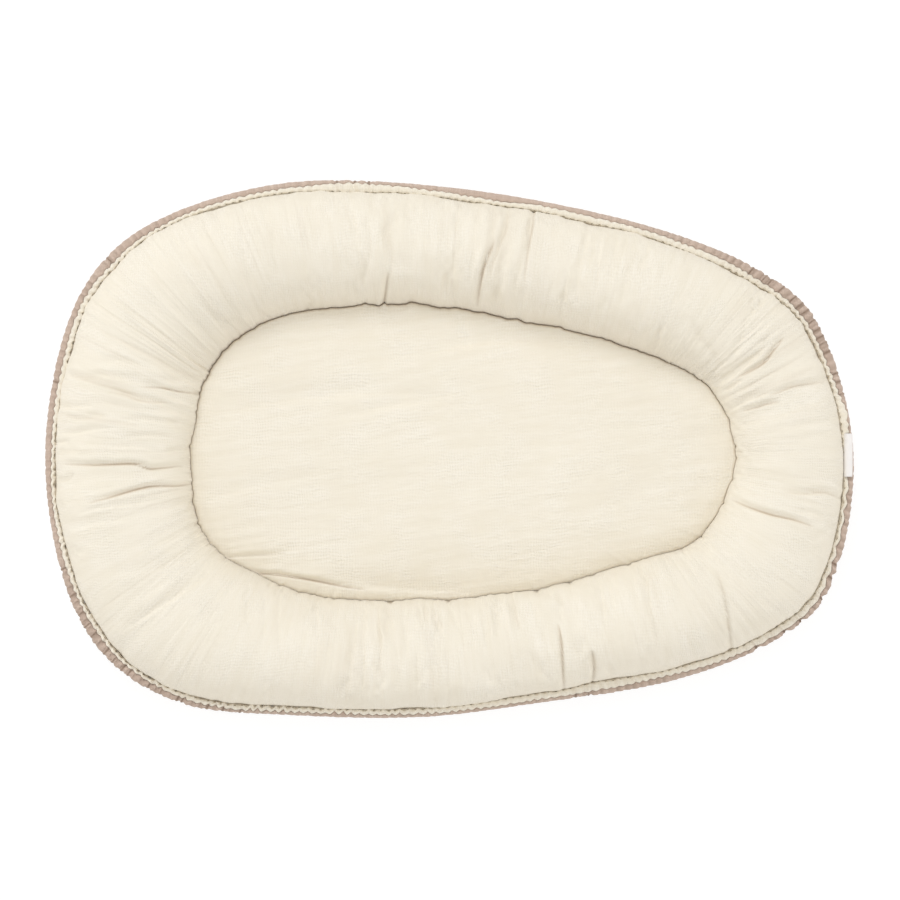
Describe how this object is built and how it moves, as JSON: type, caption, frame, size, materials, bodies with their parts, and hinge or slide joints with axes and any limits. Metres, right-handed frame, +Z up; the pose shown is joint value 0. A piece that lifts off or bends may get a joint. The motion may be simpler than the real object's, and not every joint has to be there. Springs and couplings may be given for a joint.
{
  "type": "infant lounger",
  "caption": "Low oval infant lounger with a stuffed bolster all round, a padded floor, a gathered elastic edge and a zipped underside.",
  "frame": {"origin": "on the ground under the middle of the outline", "axes": "+X along the length towards the narrow end, +Y across the width, +Z up"},
  "size_m": [0.8978, 0.5972, 0.11],
  "materials": {
    "cream_gauze": "matt crinkled cotton double gauze, cream",
    "taupe_gauze": "matt crinkled cotton double gauze, taupe",
    "fibre_filling": "white loose fibre",
    "white_cotton": "plain white cotton",
    "white_elastic": "woven elastic",
    "white_satin": "smooth satin ribbon with a soft sheen",
    "zip_resin": "moulded resin, taupe"
  },
  "bodies": {
    "cover": {"upper_bolster_panel": "cream_gauze", "lower_bolster_panel": "taupe_gauze", "bolster_filling": "fibre_filling", "upper_floor_panel": "cream_gauze", "lower_floor_panel_wide_end": "taupe_gauze", "lower_floor_panel_narrow_end": "taupe_gauze", "mattress_slip": "white_cotton", "mattress_core": "fibre_filling", "upper_edge_casing": "cream_gauze", "lower_edge_casing": "taupe_gauze", "edge_elastic": "white_elastic", "side_label": "white_satin", "zip_stringer_wide_end": "zip_resin", "zip_stringer_narrow_end": "zip_resin", "zip_bottom_stop": "zip_resin", "zip_top_stop_wide_end": "zip_resin", "zip_top_stop_narrow_end": "zip_resin", "zip_end_tab_bottom": "taupe_gauze", "zip_end_tab_top": "taupe_gauze"},
    "slider": {"zip_slider": "zip_resin"},
    "pull": {"zip_pull": "zip_resin"}
  },
  "joints": [
    {"name": "zip_slide", "type": "slide", "parent": "cover", "child": "slider", "axis": [0, -1, 0], "range_m": [0, 0.21], "deforming": ["zip_stringer_wide_end", "zip_stringer_narrow_end"]},
    {"name": "pull_hinge", "type": "hinge", "parent": "slider", "child": "pull", "pos_m": [-0.07178, 0.11236, 0.0084], "axis": [1, 0, 0], "range_deg": [0, 170]}
  ]
}
